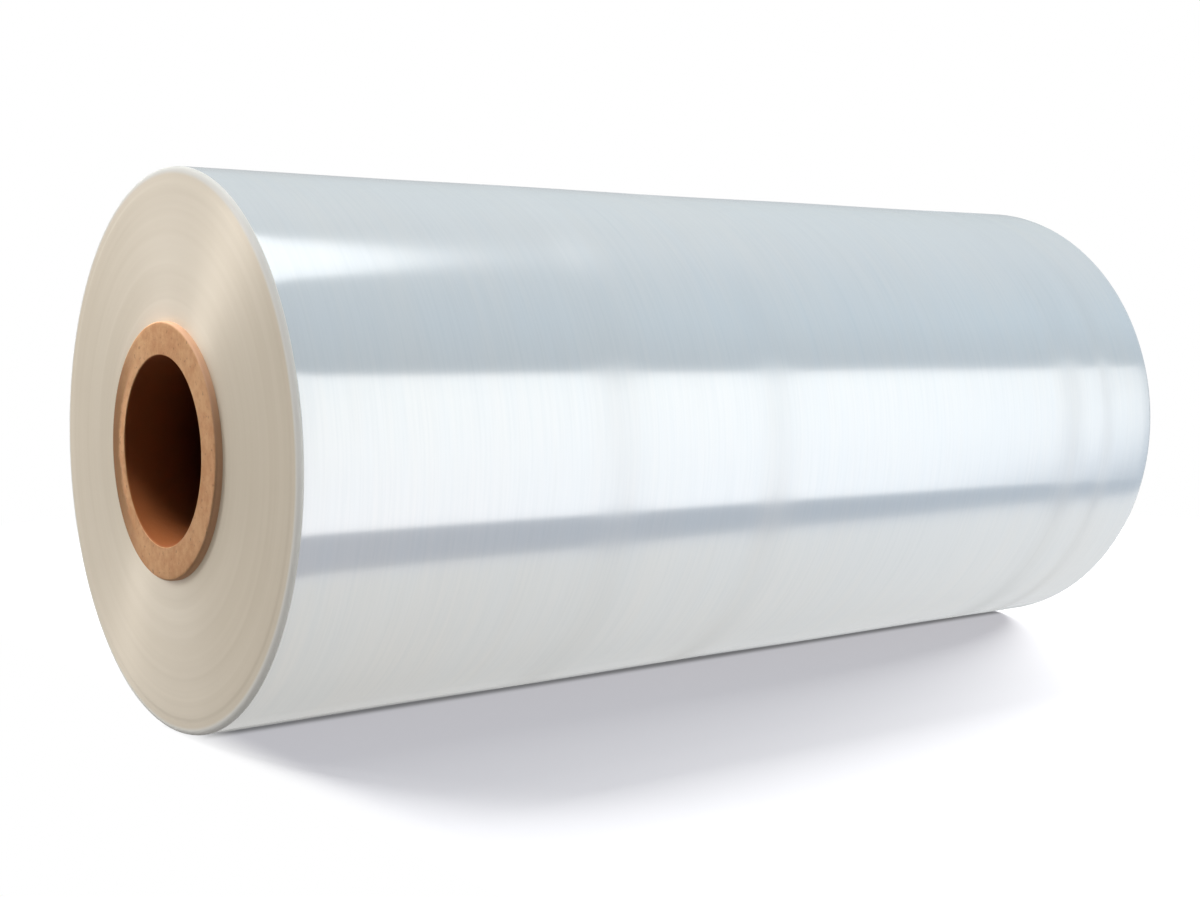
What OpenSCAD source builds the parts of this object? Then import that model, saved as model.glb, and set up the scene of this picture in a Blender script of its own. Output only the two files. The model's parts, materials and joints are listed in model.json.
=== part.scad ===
// A roll of clear plastic film wound on a cardboard core.
// The roll stands on one end of its core: the Z axis is the winding axis,
// and Z = 0 is the plane that the lower end of the core stands on.

/* [Film] */
// Width of the film, which is the length of the wound roll
film_width = 492; // [250:1:750]
// Outer diameter of the full roll
film_d = 225.5; // [150:0.5:300]
// Radius of the outer edges, where the last turns roll over
edge_round = 3; // [1:0.5:6]

/* [Turns on the end faces] */
// Bands of turns that can be told apart on each end face
turn_bands = 14; // [6:1:24]
// How far the deepest band sits back from the proudest one
turn_relief = 0.3; // [0.1:0.05:1]
// Width of the outermost turns, which were wound tighter and sit back
outer_turns_w = 6; // [4:0.5:10]
// How far the outermost turns sit back from the face
outer_turns_back = 0.4; // [0.2:0.1:1.5]

/* [Thickness bands round the side] */
// Slow waves in the wound diameter, counted along the roll
side_waves = 3; // [1:1:8]
// Most that the side dips below the full diameter, as a radius
side_dip = 0.5; // [0.1:0.1:1]

/* [Core] */
// Diameter of the core's bore, for a 3 inch shaft or chuck
core_bore_d = 76.2; // [50:0.1:80]
// Thickness of the cardboard wall
core_wall = 13.5; // [6:0.1:16]
// How far the core stands out of the film at each end
core_stick_out = 2.8; // [2:0.1:10]
// Radius that wear has left on the outer rims of the core
core_rim_round = 1; // [0.4:0.1:2]
// Chamfer on the rims of the bore, left by the cut
core_bore_chamfer = 0.5; // [0.2:0.1:1]

/* [Hidden] */
$fn = 72;
// Facets of a full circle for the small roundings in the sections
round_fn = 16;

core_bore_r = core_bore_d / 2;
core_r = core_bore_r + core_wall;
core_length = film_width + 2 * core_stick_out;
film_r = film_d / 2;
film_middle = core_length / 2;

// The bands share out the face between the core and the set-back outer turns
outer_turns_r = film_r - outer_turns_w;
band_w = (outer_turns_r - core_r) / turn_bands;
// Golden angle, which keeps neighbouring bands from lying level
band_angle = 137.5;
// Points that draw one wave of the side
wave_points = 4;

film_colour = [0.86, 0.87, 0.85];
core_colour = [0.67, 0.53, 0.39];

// How far band i sits back from the proudest band, which is the one by the core
function band_back(i) = turn_relief * (1 - abs(cos(i * band_angle)));

// The upper end face as [radius, height above the middle], from the core outwards
function face_points() = [
    for (i = [0 : turn_bands - 1])
        let (
            inner = core_r + i * band_w,
            height = film_width / 2 - band_back(i)
        )
        each [[inner, height], [inner + band_w, height]],
    [outer_turns_r, film_width / 2 - outer_turns_back],
    [film_r, film_width / 2 - outer_turns_back]
];

// How far the side dips at the share t of the roll's length
function side_back(t) = side_dip / 4 * (2 - cos(360 * side_waves * t) - cos(360 * t));

// The side as [radius, height above the middle], from the upper edge to the lower one
side_half = film_width / 2 - outer_turns_back - edge_round;
side_steps = side_waves * wave_points;
function side_points() = [
    for (s = [0 : side_steps])
        let (t = s / side_steps)
        [film_r - side_back(t), side_half * (1 - 2 * t)]
];

function reversed(list) = [for (i = [len(list) - 1 : -1 : 0]) list[i]];
function below(list) = [for (p = reversed(list)) [p[0], -p[1]]];

// Half section of the wound film, about the middle of its width
module film_section() {
    difference() {
        polygon(concat(face_points(), side_points(), below(face_points())));
        for (end = [0, 1])
            mirror([0, end])
                rim_cut(film_r, film_width / 2 - outer_turns_back, edge_round);
    }
}

// What rounds the upper outer corner of a half section, at radius r and height h
module rim_cut(r, h, round_r) {
    difference() {
        translate([r - round_r, h - round_r])
            square(2 * round_r);
        translate([r - round_r, h - round_r])
            circle(round_r, $fn = round_fn);
    }
}

// Half section of the core's wall, about the middle of its length
module core_section() {
    difference() {
        translate([core_bore_r, -core_length / 2])
            square([core_wall, core_length]);
        for (end = [0, 1])
            mirror([0, end]) {
                rim_cut(core_r, core_length / 2, core_rim_round);
                translate([core_bore_r, core_length / 2])
                    rotate(45)
                        square(core_bore_chamfer * sqrt(2), center = true);
            }
    }
}

// The wound film: one solid, with its turns showing as rings on both end faces
module film_roll() {
    color(film_colour)
        translate([0, 0, film_middle])
            rotate_extrude()
                film_section();
}

// The wound cardboard tube that the film is wound on
module core_tube() {
    color(core_colour)
        translate([0, 0, film_middle])
            rotate_extrude()
                core_section();
}

film_roll();
core_tube();
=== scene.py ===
# A roll of clear film on its cardboard core. The roll stands on the lower end of the core, and
# the camera lies on its side, so that the picture shows the roll lying down.
import json
import math
import bpy
import numpy as np
from mathutils import Matrix, Vector


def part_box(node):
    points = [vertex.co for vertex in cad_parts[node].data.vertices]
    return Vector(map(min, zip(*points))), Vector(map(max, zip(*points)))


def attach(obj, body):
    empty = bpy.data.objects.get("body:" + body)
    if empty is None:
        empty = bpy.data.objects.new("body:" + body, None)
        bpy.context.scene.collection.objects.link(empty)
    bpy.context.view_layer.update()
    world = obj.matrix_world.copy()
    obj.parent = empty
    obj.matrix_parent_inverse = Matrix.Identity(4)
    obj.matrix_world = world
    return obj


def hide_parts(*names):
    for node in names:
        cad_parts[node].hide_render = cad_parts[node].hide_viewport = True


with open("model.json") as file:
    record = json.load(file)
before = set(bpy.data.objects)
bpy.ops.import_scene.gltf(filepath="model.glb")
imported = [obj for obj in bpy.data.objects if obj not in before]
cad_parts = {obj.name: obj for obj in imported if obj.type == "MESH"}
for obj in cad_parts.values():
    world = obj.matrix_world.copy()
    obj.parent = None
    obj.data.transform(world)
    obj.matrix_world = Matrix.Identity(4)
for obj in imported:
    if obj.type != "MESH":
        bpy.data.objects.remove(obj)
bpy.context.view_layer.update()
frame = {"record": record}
mm = 0.001

filmLow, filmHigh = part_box("film_roll")
coreLow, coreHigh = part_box("core_tube")
filmRadius = filmHigh[0]
coreRadius = coreHigh[0]
coreBore = next(m for m in frame["record"]["mounts"] if m["name"] == "core_bore")
boreRadius = coreBore["dims"]["r_mm"] * mm


# Directions and places as the picture has them, in millimetres from the middle of the shown
# film face: along the roll to the right, back from the viewer, and up
def pictureWay(along, back, up):
    return Vector((up, back, -along))


def picturePlace(along, back, up):
    return Vector((0, 0, filmHigh[2])) + pictureWay(along, back, up) * mm


cameraView = {
    "along": -268.3,
    "back": -639.3,
    "up": 50.9,
    "turnRight": 37.16,  # degrees from square-on to the roll
    "tiltDown": 2.56,
    "lens": 50.67,
    "shiftUp": -0.0417,
}


def makeCamera():
    turn = math.radians(cameraView["turnRight"])
    tilt = math.radians(cameraView["tiltDown"])
    forward = pictureWay(
        math.sin(turn) * math.cos(tilt), math.cos(turn) * math.cos(tilt), -math.sin(tilt)
    )
    right = pictureWay(math.cos(turn), -math.sin(turn), 0)
    up = right.cross(forward)
    data = bpy.data.cameras.new("camera")
    data.sensor_width = 36
    data.lens = cameraView["lens"]
    data.shift_y = cameraView["shiftUp"]
    data.clip_start = 0.01
    data.clip_end = 50
    camera = bpy.data.objects.new("camera", data)
    turned = Matrix((right, up, -forward)).transposed().to_4x4()
    place = picturePlace(cameraView["along"], cameraView["back"], cameraView["up"])
    camera.matrix_world = Matrix.Translation(place) @ turned
    bpy.context.collection.objects.link(camera)
    bpy.context.scene.camera = camera


makeCamera()
print("camera placed")


# An output socket that can be reckoned with: each operator adds a Math node
class Wire:
    def __init__(self, graph, socket):
        self.graph = graph
        self.socket = socket

    def out(self, name):
        return Wire(self.graph, self.socket.node.outputs[name])

    def math(self, operation, *others):
        return self.graph.reckon(operation, self, *others)

    def __add__(self, other):
        return self.math("ADD", other)

    def __radd__(self, other):
        return self.graph.reckon("ADD", other, self)

    def __sub__(self, other):
        return self.math("SUBTRACT", other)

    def __rsub__(self, other):
        return self.graph.reckon("SUBTRACT", other, self)

    def __mul__(self, other):
        return self.math("MULTIPLY", other)

    def __rmul__(self, other):
        return self.graph.reckon("MULTIPLY", other, self)

    def __truediv__(self, other):
        return self.math("DIVIDE", other)

    def __rtruediv__(self, other):
        return self.graph.reckon("DIVIDE", other, self)


# The node tree of one material or of the world
class Graph:
    def __init__(self, owner):
        owner.use_nodes = True
        self.tree = owner.node_tree
        self.tree.nodes.clear()

    def add(self, kind, settings=None, sockets=None):
        node = self.tree.nodes.new(kind)
        for name, value in (settings or {}).items():
            if name == "stops":
                self.setStops(node.color_ramp, value)
            else:
                setattr(node, name, value)
        for key, value in (sockets or {}).items():
            if isinstance(value, Wire):
                self.tree.links.new(value.socket, node.inputs[key])
            elif node.inputs[key].type == "RGBA" and len(value) == 3:
                node.inputs[key].default_value = (*value, 1)
            else:
                node.inputs[key].default_value = value
        return Wire(self, node.outputs[0]) if node.outputs else None

    def setStops(self, ramp, stops):
        for place, colour in stops[2:]:
            ramp.elements.new(place)
        for element, (place, colour) in zip(ramp.elements, sorted(stops)):
            element.position = place
            element.color = (*colour, 1)

    def reckon(self, operation, *values):
        return self.add("ShaderNodeMath", {"operation": operation}, dict(enumerate(values)))

    def mix(self, share, first, second):
        made = self.add("ShaderNodeMix", {"data_type": "RGBA"}, {0: share, 6: first, 7: second})
        return Wire(self, made.socket.node.outputs[2])

    def blend(self, value, low, high, toLow=0, toHigh=1):
        return self.add(
            "ShaderNodeMapRange",
            {"interpolation_type": "SMOOTHSTEP"},
            {0: value, 1: low, 2: high, 3: toLow, 4: toHigh},
        )

    def noise(self, place, scale, detail, roughness):
        stretched = [wire * factor for wire, factor in zip(place, scale)]
        vector = self.add("ShaderNodeCombineXYZ", None, dict(enumerate(stretched)))
        return self.add(
            "ShaderNodeTexNoise",
            None,
            {"Vector": vector, "Scale": 1, "Detail": detail, "Roughness": roughness},
        )

    def bump(self, height, depth, strength):
        return self.add(
            "ShaderNodeBump", None, {"Height": height, "Distance": depth, "Strength": strength}
        )

    def objectPlace(self):
        place = self.add("ShaderNodeTexCoord").out("Object")
        x = self.add("ShaderNodeSeparateXYZ", None, {0: place})
        return x, x.out("Y"), x.out("Z")

    def length(self, x, y):
        return (x * x + y * y).math("SQRT")

    def principled(self, sockets):
        shader = self.add("ShaderNodeBsdfPrincipled", None, sockets)
        self.add("ShaderNodeOutputMaterial", None, {"Surface": shader})


# A closed half section turned round the Z axis. The section is a list of (radius, height, slot),
# where slot picks the material of the strip that starts there.
def turnedPiece(name, section, around, materials, sharpAngle):
    radii, heights, slots = (np.array(column) for column in zip(*section))
    angles = np.arange(around) * (2 * math.pi / around)
    points = np.stack(
        [
            radii[:, None] * np.cos(angles),
            radii[:, None] * np.sin(angles),
            np.repeat(heights[:, None], around, 1),
        ],
        -1,
    ).reshape(-1, 3)
    faces = []
    for i in range(len(radii)):
        j = (i + 1) % len(radii)
        for k in range(around):
            n = (k + 1) % around
            faces.append((i * around + k, i * around + n, j * around + n, j * around + k))
    mesh = bpy.data.meshes.new(name)
    mesh.from_pydata(points.tolist(), [], faces)
    for material in materials:
        mesh.materials.append(material)
    mesh.polygons.foreach_set("material_index", np.repeat(slots, around))
    mesh.polygons.foreach_set("use_smooth", [True] * len(faces))
    mesh.update()
    mesh.set_sharp_from_angle(angle=math.radians(sharpAngle))
    piece = bpy.data.objects.new(name, mesh)
    bpy.context.collection.objects.link(piece)
    return piece


filmValues = {
    "sideColour": (0.915, 0.925, 0.93),
    "sideWarm": (0.935, 0.93, 0.92),
    "sideLine": (0.84, 0.855, 0.87),
    "sideRoughness": 0.16,
    "sideMetallic": 0.5,
    "sideAnisotropic": 0.85,
    "sideBump": 0.5,
    "fineLines": (18, 18, 900),  # how fine the noise is, per metre in X, Y and Z
    "broadLines": (9, 9, 160),
    "sideClouds": (14, 14, 22),
    "lineShare": 0.5,
    "lineRoughness": 0.04,
    "hazeRings": ((143, 12), (228, 10), (427, 9), (455, 5)),  # mm from the shown end, half width
    "hazeRoughness": 0.09,
    "faceCream": (0.86, 0.75, 0.60),
    "faceShade": (0.83, 0.72, 0.57),
    "faceRim": (0.93, 0.90, 0.84),
    "rimFade": (3.5, 1.5),  # mm from the outer edge, where the face takes on the rim's colour
    "faceRoughness": 0.5,
    "faceMetallic": 0.13,
    "faceAnisotropic": 0.885,
    "faceBump": 0.25,
    "fineRings": (1400, 6, 6),  # per metre outwards, in X and in Y
    "broadRings": (260, 5, 5),
    "ringRoughness": 0.05,
    "faceClouds": (16, 16, 16),
    "bumpDepth": 0.02,  # mm
    "sheenTurn": 0.25,  # of a full turn, which spreads the sheen across the lines and rings
    "around": 384,
    "sharpAngle": 30,
    "bands": 14,
    "bandAngle": 137.5,
    "relief": 0.12,  # mm, as the sizes below
    "outerTurns": 6,
    "outerTurnsBack": 0.25,
    "edgeRound": 2.2,
    "edgeSteps": 12,
    "shownEdgeLikeFace": 12,  # steps of the rounded edge that are as dull as the face
    "farEdgeLikeFace": 6,
    "stepWidth": 2.2,
    "stepPoints": 4,
    "sideWaves": 3,
    "sideDip": 0.5,
    "sideSteps": 72,
}


# Glossy film, with fine lines round the roll and a few rings where the turns are hazier
def filmSideMaterial():
    v = filmValues
    material = bpy.data.materials.new("film side")
    graph = Graph(material)
    place = graph.objectPlace()
    lines = graph.noise(place, v["fineLines"], 3, 0.6)
    broadLines = graph.noise(place, v["broadLines"], 3, 0.55)
    clouds = graph.noise(place, v["sideClouds"], 3, 0.5)
    haze = 0
    for middle, halfWidth in v["hazeRings"]:
        off = (place[2] - (filmHigh[2] - middle * mm)) / (halfWidth * mm)
        haze = (-1 * off * off).math("EXPONENT") + haze
    haze = haze * (0.6 + 0.6 * clouds)
    warm = graph.blend(broadLines + clouds - 0.5, 0.3, 0.75)
    colour = graph.mix(warm, v["sideColour"], v["sideWarm"])
    colour = graph.mix(graph.blend(lines, 0.35, 0.75, 0, v["lineShare"]), colour, v["sideLine"])
    roughness = v["sideRoughness"] + v["hazeRoughness"] * haze + v["lineRoughness"] * (lines - 0.5)
    graph.principled({
        "Base Color": colour,
        "Metallic": v["sideMetallic"],
        "Roughness": roughness,
        "Anisotropic": v["sideAnisotropic"],
        "Anisotropic Rotation": v["sheenTurn"],
        "Normal": graph.bump(0.6 * lines + 0.8 * broadLines, v["bumpDepth"] * mm, v["sideBump"]),
    })
    return material


# The edges of all the turns: cream, with a satin sheen that spreads across the rings
def filmFaceMaterial():
    v = filmValues
    material = bpy.data.materials.new("film face")
    graph = Graph(material)
    x, y, z = graph.objectPlace()
    radius = graph.length(x, y)
    rings = graph.noise((radius, x, y), v["fineRings"], 3, 0.6)
    broadRings = graph.noise((radius, x, y), v["broadRings"], 2, 0.5)
    clouds = graph.noise((x, y, z), v["faceClouds"], 3, 0.5)
    shade = graph.blend(broadRings + 0.8 * clouds, 0.7, 1.1)
    colour = graph.mix(shade, v["faceCream"], v["faceShade"])
    fadeStart, fadeEnd = v["rimFade"]
    rim = graph.blend(radius, filmRadius - fadeStart * mm, filmRadius - fadeEnd * mm)
    graph.principled({
        "Base Color": graph.mix(rim, colour, v["faceRim"]),
        "Metallic": v["faceMetallic"] * (1 - rim),
        "Roughness": v["faceRoughness"] + v["ringRoughness"] * (broadRings - 0.5),
        "Anisotropic": v["faceAnisotropic"],
        "Anisotropic Rotation": v["sheenTurn"],
        "Normal": graph.bump(rings + 0.5 * broadRings, v["bumpDepth"] * mm, v["faceBump"]),
    })
    return material


# One end from the core outwards, above the roll's middle. Its last strips, round the outer edge,
# shine as the side does.
def filmEnd(half, edgeLikeFace):
    v = filmValues
    outerTurns = filmRadius - v["outerTurns"] * mm
    band = (outerTurns - coreRadius) / v["bands"]
    bandAngle = math.radians(v["bandAngle"])
    backs = [v["relief"] * (1 - abs(math.cos(i * bandAngle))) for i in range(v["bands"])]
    backs.append(v["outerTurnsBack"])
    end = [(coreRadius, half, 0)]
    for i in range(v["bands"]):
        edge = coreRadius + (i + 1) * band
        for k in range(v["stepPoints"] + 1):
            t = k / v["stepPoints"]
            back = backs[i] + (backs[i + 1] - backs[i]) * (1 - math.cos(math.pi * t)) / 2
            end.append((edge + v["stepWidth"] * (t - 0.5) * mm, half - back * mm, 0))
    rimTop = half - v["outerTurnsBack"] * mm
    edgeRound = v["edgeRound"] * mm
    for i in range(v["edgeSteps"] + 1):
        a = math.pi / 2 * i / v["edgeSteps"]
        radius = filmRadius - edgeRound * (1 - math.sin(a))
        end.append((radius, rimTop - edgeRound * (1 - math.cos(a)), 0 if i < edgeLikeFace else 1))
    return end


def filmSection():
    v = filmValues
    middle = (filmLow[2] + filmHigh[2]) / 2
    half = (filmHigh[2] - filmLow[2]) / 2
    upper = filmEnd(half, v["shownEdgeLikeFace"])
    side = []
    sideHalf = half - (v["outerTurnsBack"] + v["edgeRound"]) * mm
    for i in range(1, v["sideSteps"]):
        t = i / v["sideSteps"]
        waves = 2 - math.cos(2 * math.pi * v["sideWaves"] * t) - math.cos(2 * math.pi * t)
        side.append((filmRadius - v["sideDip"] / 4 * waves * mm, sideHalf * (1 - 2 * t), 1))
    lower = [(r, -h, slot) for r, h, slot in reversed(filmEnd(half, v["farEdgeLikeFace"]))]
    # a strip's slot belongs to its first point, which is the other one on the mirrored half
    shifted = [slot for r, h, slot in lower[1:] + lower[-1:]]
    lower = [(r, h, slot) for (r, h, old), slot in zip(lower, shifted)]
    return [(r, middle + h, slot) for r, h, slot in upper + side + lower][::-1]


def makeFilm():
    v = filmValues
    materials = [filmFaceMaterial(), filmSideMaterial()]
    film = turnedPiece("wound_film", filmSection(), v["around"], materials, v["sharpAngle"])
    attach(film, "root")
    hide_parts("film_roll")
    return film


film = makeFilm()
print("film wound")

coreValues = {
    "board": (0.58, 0.295, 0.14),
    "boardPale": (0.69, 0.40, 0.21),
    "boardDark": (0.30, 0.14, 0.065),
    "fleckShare": 0.6,
    "outside": (0.82, 0.50, 0.32),
    "outsideFade": (0.8, 0.1),  # mm from the outside, where the cut end takes on its colour
    # a darker band by the outer edge of the cut end, on the side away from the viewer, with a ragged
    # inner edge
    "backEdgeDark": (0.30, 0.15, 0.07),
    "backEdgeWidth": 9.5,  # mm of the cut end, by its outer edge, on the side away from the viewer
    "backEdgeFade": 3,
    "backEdgeSide": (0.35, 0.95),  # of the core's radius, away from the viewer
    "backEdgeRagged": 6,
    "bore": (0.40, 0.13, 0.044),
    # the bore's colour deep inside is painted shade
    "boreDeepShade": (0.02, 0.003, 0.001),
    "boreShadeDepth": (4, 42),  # mm inside the end, where the painted shade in the bore starts and is full
    "boreFade": (0.1, 0.4),  # mm outwards from the bore
    "fibres": (260, 260, 260),  # how fine the noise is, per metre
    "flecks": (480, 480, 480),
    "patches": (60, 60, 60),
    "plies": (900, 12, 12),  # per metre outwards, in X and in Y
    "bumpDepth": 0.25,  # mm
    "bumpStrength": 0.7,
    "roughness": 0.85,
    "gloss": 0.1,
    "around": 256,
    "sharpAngle": 35,
    "rimRound": 1.0,
    "rimSteps": 4,
    "boreChamfer": 0.5,
    "faceSteps": 8,
    "wallSteps": 12,
}


# Wound board: pale and flecked on the cut ends, darker by their outer edge on the side away from the
# viewer, redder outside, and dark brown in the bore, where painted shade deepens it inwards
def coreMaterial():
    v = coreValues
    material = bpy.data.materials.new("core board")
    graph = Graph(material)
    x, y, z = graph.objectPlace()
    radius = graph.length(x, y)
    fibres = graph.noise((x, y, z), v["fibres"], 4, 0.65)
    flecks = graph.noise((x, y, z), v["flecks"], 2, 0.5)
    patches = graph.noise((x, y, z), v["patches"], 2, 0.5)
    plies = graph.noise((radius, x, y), v["plies"], 2, 0.5)
    colour = graph.mix(graph.blend(fibres + 0.5 * patches, 0.5, 1.0), v["board"], v["boardPale"])
    colour = graph.mix(graph.blend(flecks, 0.62, 0.75, 0, v["fleckShare"]), colour, v["boardDark"])
    # darker band by the outer edge of the cut end, on the side away from the viewer
    ragged = radius + v["backEdgeRagged"] * mm * (fibres - 0.5)
    backEdgeStart = coreRadius - v["backEdgeWidth"] * mm
    backEdgeDark = graph.blend(ragged, backEdgeStart, backEdgeStart + v["backEdgeFade"] * mm)
    backEdgeDark = backEdgeDark * graph.blend(y, *(share * coreRadius for share in v["backEdgeSide"]))
    colour = graph.mix(backEdgeDark, colour, v["backEdgeDark"])
    rim = graph.blend(radius, *(coreRadius - inside * mm for inside in v["outsideFade"]))
    colour = graph.mix(rim * (1 - backEdgeDark), colour, v["outside"])
    # painted shade: the bore's colour darkens with depth from either end
    middle = (coreHigh[2] + coreLow[2]) / 2
    depth = middle - coreLow[2] - (z - middle).math("ABSOLUTE")
    boreShade = graph.blend(depth, *(inside * mm for inside in v["boreShadeDepth"]))
    bore = graph.mix(boreShade, v["bore"], v["boreDeepShade"])
    outOfBore = graph.blend(radius, *(boreRadius + outside * mm for outside in v["boreFade"]))
    graph.principled({
        "Base Color": graph.mix(outOfBore, bore, colour),
        "Roughness": v["roughness"],
        "Specular IOR Level": v["gloss"],
        "Normal": graph.bump(fibres + 0.5 * plies, v["bumpDepth"] * mm, v["bumpStrength"]),
    })
    return material


def coreSection():
    v = coreValues
    middle = (coreLow[2] + coreHigh[2]) / 2
    half = (coreHigh[2] - coreLow[2]) / 2
    chamfer = v["boreChamfer"] * mm
    rim = v["rimRound"] * mm
    cutStart = boreRadius + chamfer
    cutWidth = coreRadius - rim - cutStart
    end = [(boreRadius, half - chamfer)]
    end += [(cutStart + cutWidth * i / v["faceSteps"], half) for i in range(v["faceSteps"] + 1)]
    for i in range(1, v["rimSteps"] + 1):
        a = math.pi / 2 * i / v["rimSteps"]
        end.append((coreRadius - rim * (1 - math.sin(a)), half - rim * (1 - math.cos(a))))
    downs = [1 - 2 * i / v["wallSteps"] for i in range(1, v["wallSteps"])]
    wall = [(coreRadius, (half - rim) * down) for down in downs]
    bore = [(boreRadius, -(half - chamfer) * down) for down in downs]
    lower = [(r, -h) for r, h in reversed(end)]
    return [(r, middle + h, 0) for r, h in end + wall + lower + bore][::-1]


def makeCore():
    v = coreValues
    core = turnedPiece("board_core", coreSection(), v["around"], [coreMaterial()], v["sharpAngle"])
    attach(core, "root")
    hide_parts("core_tube")
    return core


core = makeCore()
print("core made")

ground = {
    "size": 4.0,
    "shadowReach": (0.46, 0.76),  # from the roll's middle, where the ground fades into plain white
    "ownGlow": (0.43, 0.425, 0.455),
    "colour": (0.25, 0.25, 0.25),
    "bounce": (0.04, 0.04, 0.04),  # the ground as the roll sees it
    "contact": (13, 27),  # mm from the line of contact, where painted shade darkens the ground
    "contactShadeEnd": (-12, 0),  # mm past the roll's ends, where that painted shade stops
    "contactShadeShare": 0.2,  # of its own glow that is left at the line of contact, as painted shade
    "shownEnd": (-22, 6),  # mm past the shown end, where the shadow is painted out with plain white
    "behind": (-5, 15),  # mm behind the line of contact, where the painted white covers the shadow sooner
    # mm from the shown end, where the painted white behind the line of contact starts and is full
    "behindShownEnd": (-60, -10),
}


# The ground of the picture: it touches the roll along its side, and is seen from that side only. It
# has painted shade along the line of contact, and the roll's shadow is painted out with plain white by
# the shown end.
def makeGround():
    v = ground
    middle = picturePlace((filmHigh[2] - filmLow[2]) / mm / 2, 0, -filmRadius / mm)
    half = v["size"] / 2
    corners = [(0, -half, -half), (0, half, -half), (0, half, half), (0, -half, half)]
    mesh = bpy.data.meshes.new("ground")
    mesh.from_pydata([middle + Vector(c) for c in corners], [], [(0, 1, 2, 3)])
    material = bpy.data.materials.new("ground")
    graph = Graph(material)
    x, y, z = graph.objectPlace()

    def fade(value, ends):
        return graph.blend(value, ends[0] * mm, ends[1] * mm)

    off = (z - middle[2]).math("ABSOLUTE")
    plain = graph.blend(graph.length(y, off), *v["shadowReach"])
    # painted shade along the line of contact: the ground's own glow is dimmed there
    beside = fade(y.math("ABSOLUTE"), v["contact"])
    beyond = fade(off - (filmHigh[2] - filmLow[2]) / 2, v["contactShadeEnd"])
    away = graph.blend(beside.math("MAXIMUM", beyond), 0, 1)
    # painted light: past the shown end, and behind the roll near it, the ground is painted plain white
    # over the roll's shadow
    pastEnd = z - filmHigh[2]
    behindEnd = fade(pastEnd, v["behindShownEnd"]) * fade(y, v["behind"])
    plain = plain.math("MAXIMUM", behindEnd).math("MAXIMUM", fade(pastEnd, v["shownEnd"]))
    diffuse = graph.add("ShaderNodeBsdfDiffuse", None, {"Color": v["colour"]})
    contactShade = graph.add("ShaderNodeEmission", None, {"Color": v["ownGlow"], "Strength": v["contactShadeShare"]})
    full = graph.add("ShaderNodeEmission", None, {"Color": v["ownGlow"], "Strength": 1})
    glow = graph.add("ShaderNodeMixShader", None, {0: away, 1: contactShade, 2: full})
    white = graph.add("ShaderNodeEmission", None, {"Color": (1, 1, 1), "Strength": 1})
    lit = graph.add("ShaderNodeAddShader", None, {0: diffuse, 1: glow})
    seen = graph.add("ShaderNodeMixShader", None, {0: plain, 1: lit, 2: white})
    toCamera = graph.add("ShaderNodeLightPath").out("Is Camera Ray")
    bounce = graph.add("ShaderNodeBsdfDiffuse", None, {"Color": v["bounce"]})
    shown = graph.add("ShaderNodeMixShader", None, {0: toCamera, 1: bounce, 2: seen})
    clear = graph.add("ShaderNodeBsdfTransparent")
    fromBehind = graph.add("ShaderNodeNewGeometry").out("Backfacing")
    oneSided = graph.add("ShaderNodeMixShader", None, {0: fromBehind, 1: shown, 2: clear})
    graph.add("ShaderNodeOutputMaterial", None, {"Surface": oneSided})
    mesh.materials.append(material)
    floor = bpy.data.objects.new("ground", mesh)
    bpy.context.collection.objects.link(floor)
    floor.visible_shadow = False
    floor.visible_glossy = False
    return floor


floor = makeGround()
print("ground laid")

lamps = {
    # place and aim in the picture's sense, size in mm, bright as the brightness of the lamp's face
    "frontBox": {
        "place": (987, -918, -41), "size": (1465, 1051), "bright": 0.98, "square": (0, 1, 0),
        "roll": -5.5, "colour": (1, 0.985, 0.955),
    },
    "bounceCard": {
        "place": (918, 153, -612), "size": (2652, 1530), "bright": 0.40, "square": (0, 0, 1),
        "colour": (1, 0.99, 0.965),
    },
    "topBox": {
        "place": (245, 428, 1020), "size": (1122, 632), "bright": 2.6, "aim": (245, 0, 0),
        "mirrored": False,
    },
    "sparkBox": {
        "place": (150, -216, 816), "size": (755, 388), "bright": 0.92, "square": (0, 0, -1),
        "roll": 17, "shape": "ELLIPSE",
    },
    "keyBox": {"place": (-612, 525, 434), "size": (159, 159), "bright": 27, "aim": (0, 0, 0)},
    "sideCard": {"place": (-204, 431, 26), "size": (456, 456), "bright": 1.1, "aim": (0, 0, 0)},
    # two that fill in on one piece alone, as cards held close to it do
    "filmCard": {
        "place": (-500, -850, 60), "size": (600, 600), "bright": 2.7, "aim": (60, 0, 0),
        "mirrored": False, "lights": film,
    },
    "coreKey": {
        "place": (-115, 130, 525), "size": (160, 160), "bright": 22, "aim": (0, 0, 0),
        "mirrored": False, "lights": core,
    },
    # two that light the ground alone, and shape the roll's shadow as the picture has it
    "groundTop": {
        "place": (-277, 380, 841), "size": (452, 270), "bright": 68, "square": (0, 0, -1),
        "lights": floor,
    },
    "groundFar": {
        "place": (1632, 312, 284), "size": (382, 1059), "bright": 420, "square": (0, 0, -1),
        "lights": floor,
    },
}


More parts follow.
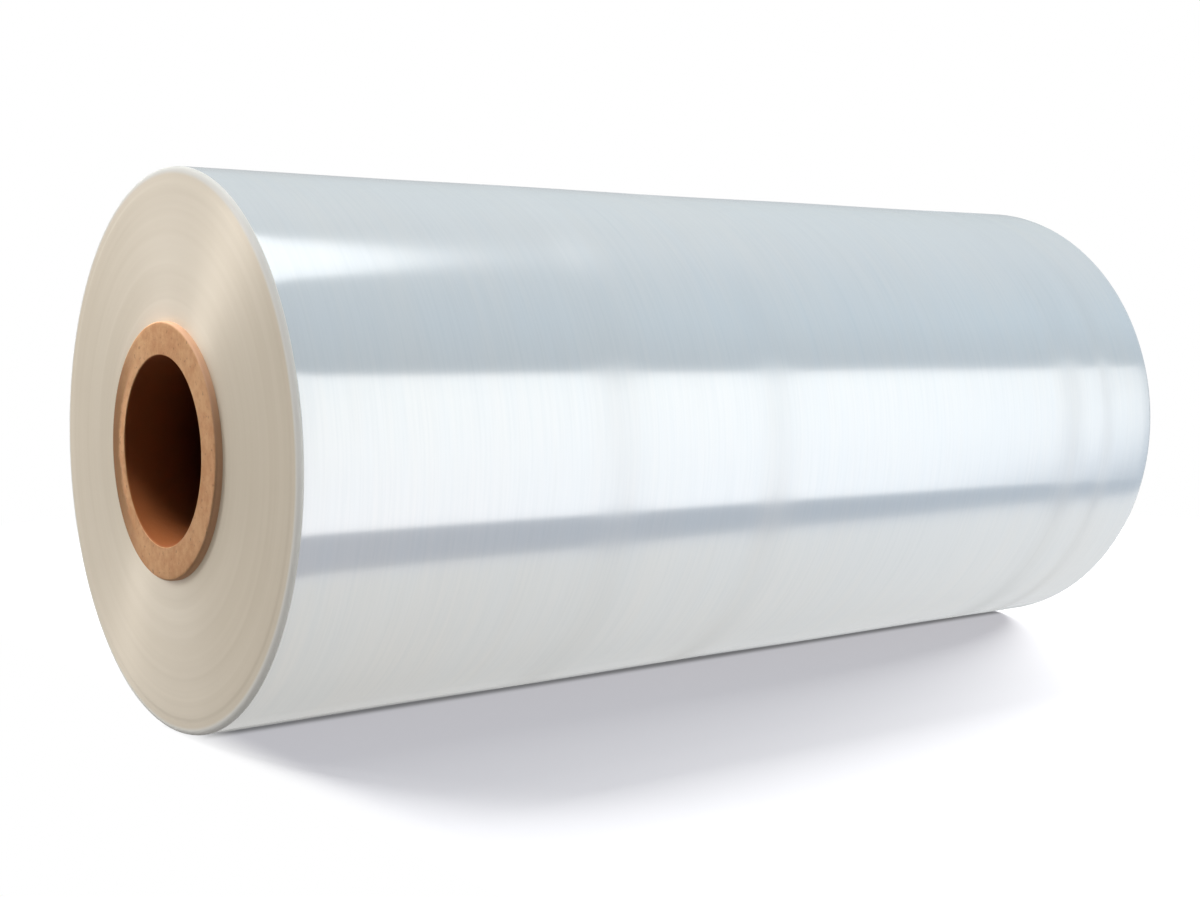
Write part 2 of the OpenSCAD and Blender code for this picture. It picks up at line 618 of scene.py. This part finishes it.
def makeLamp(name, values):
    data = bpy.data.lights.new(name, "AREA")
    data.shape = values.get("shape", "RECTANGLE")
    data.size = values["size"][0] * mm
    data.size_y = values["size"][1] * mm
    filled = math.pi / 4 if data.shape == "ELLIPSE" else 1
    data.energy = values["bright"] * math.pi * data.size * data.size_y * filled
    data.color = values.get("colour", (1, 1, 1))
    place = picturePlace(*values["place"])
    if "square" in values:
        forward = pictureWay(*values["square"])
    else:
        forward = (picturePlace(*values["aim"]) - place).normalized()
    along = pictureWay(1, 0, 0)
    side = (along - forward * along.dot(forward)).normalized()
    upward = side.cross(forward)
    turned = Matrix((side, upward, -forward)).transposed().to_4x4()
    rolled = Matrix.Rotation(math.radians(values.get("roll", 0)), 4, "Z")
    lamp = bpy.data.objects.new(name, data)
    lamp.matrix_world = Matrix.Translation(place) @ turned @ rolled
    lamp.visible_camera = False
    lamp.visible_glossy = values.get("mirrored", True)
    bpy.context.collection.objects.link(lamp)
    if "lights" in values:
        lit = bpy.data.collections.new("lit by " + name)
        lit.objects.link(values["lights"])
        lamp.light_linking.receiver_collection = lit


for lampName, lampValues in lamps.items():
    makeLamp(lampName, lampValues)

surroundings = {
    # brightness all round the roll, by the angle from the viewer's side: 0 in front, 90 above
    "nearStops": (
        (-180, (0.30, 0.30, 0.30)),
        (-100, (0.42, 0.41, 0.38)),
        (-55, (0.40, 0.40, 0.38)),
        (-45, (0.40, 0.41, 0.47)),
        (-30, (0.40, 0.41, 0.47)),
        (20, (0.33, 0.38, 0.41)),
        (55, (0.385, 0.465, 0.525)),
        (100, (0.53, 0.59, 0.62)),
        (150, (0.56, 0.615, 0.64)),
        (168, (0.46, 0.48, 0.49)),
        (180, (0.30, 0.30, 0.30)),
    ),
    "farStops": (
        (-180, (0.40, 0.42, 0.44)),
        (-100, (0.62, 0.65, 0.675)),
        (-55, (0.62, 0.67, 0.715)),
        (-45, (0.42, 0.53, 0.66)),
        (-30, (0.42, 0.53, 0.66)),
        (20, (0.41, 0.50, 0.58)),
        (55, (0.54, 0.68, 0.79)),
        (100, (0.58, 0.66, 0.72)),
        (150, (0.58, 0.65, 0.68)),
        (168, (0.50, 0.53, 0.56)),
        (180, (0.40, 0.42, 0.44)),
    ),
    # how far along a look has to point before the far colours start, and are full
    "farStart": 0.36,
    "farFull": 0.80,
    # to the left of the shown end, where the viewer's side is dark
    "leftStops": (
        (-180, (0.34, 0.34, 0.33)),
        (-100, (0.36, 0.355, 0.34)),
        (-60, (0.10, 0.10, 0.095)),
        (60, (0.10, 0.10, 0.095)),
        (100, (0.42, 0.43, 0.43)),
        (180, (0.34, 0.34, 0.33)),
    ),
    "leftStart": 0.1,
    "leftFull": -0.3,
}


def makeWorld():
    v = surroundings
    world = bpy.data.worlds.new("studio")
    bpy.context.scene.world = world
    graph = Graph(world)
    way = graph.add("ShaderNodeTexCoord").out("Generated")
    up = graph.add("ShaderNodeSeparateXYZ", None, {0: way})
    front = -1 * up.out("Y")
    along = -1 * up.out("Z")
    angle = up.math("ARCTAN2", front) / (2 * math.pi) + 0.5
    colours = []
    for name in ("leftStops", "nearStops", "farStops"):
        stops = [((degrees + 180) / 360, colour) for degrees, colour in v[name]]
        colours.append(graph.add("ShaderNodeValToRGB", {"stops": stops}, {0: angle}))
    far = graph.blend(along, v["farStart"], v["farFull"])
    left = graph.blend(-1 * along, -v["leftStart"], -v["leftFull"])
    colour = graph.mix(left, graph.mix(far, colours[1], colours[2]), colours[0])
    around = graph.add("ShaderNodeBackground", None, {"Color": colour, "Strength": 1})
    plain = graph.add("ShaderNodeBackground", None, {"Color": (1, 1, 1), "Strength": 1})
    toCamera = graph.add("ShaderNodeLightPath").out("Is Camera Ray")
    both = graph.add("ShaderNodeMixShader", None, {0: toCamera, 1: around, 2: plain})
    graph.add("ShaderNodeOutputWorld", None, {"Surface": both})


makeWorld()
bpy.context.scene.view_settings.view_transform = "Standard"
print("lamps and world set")
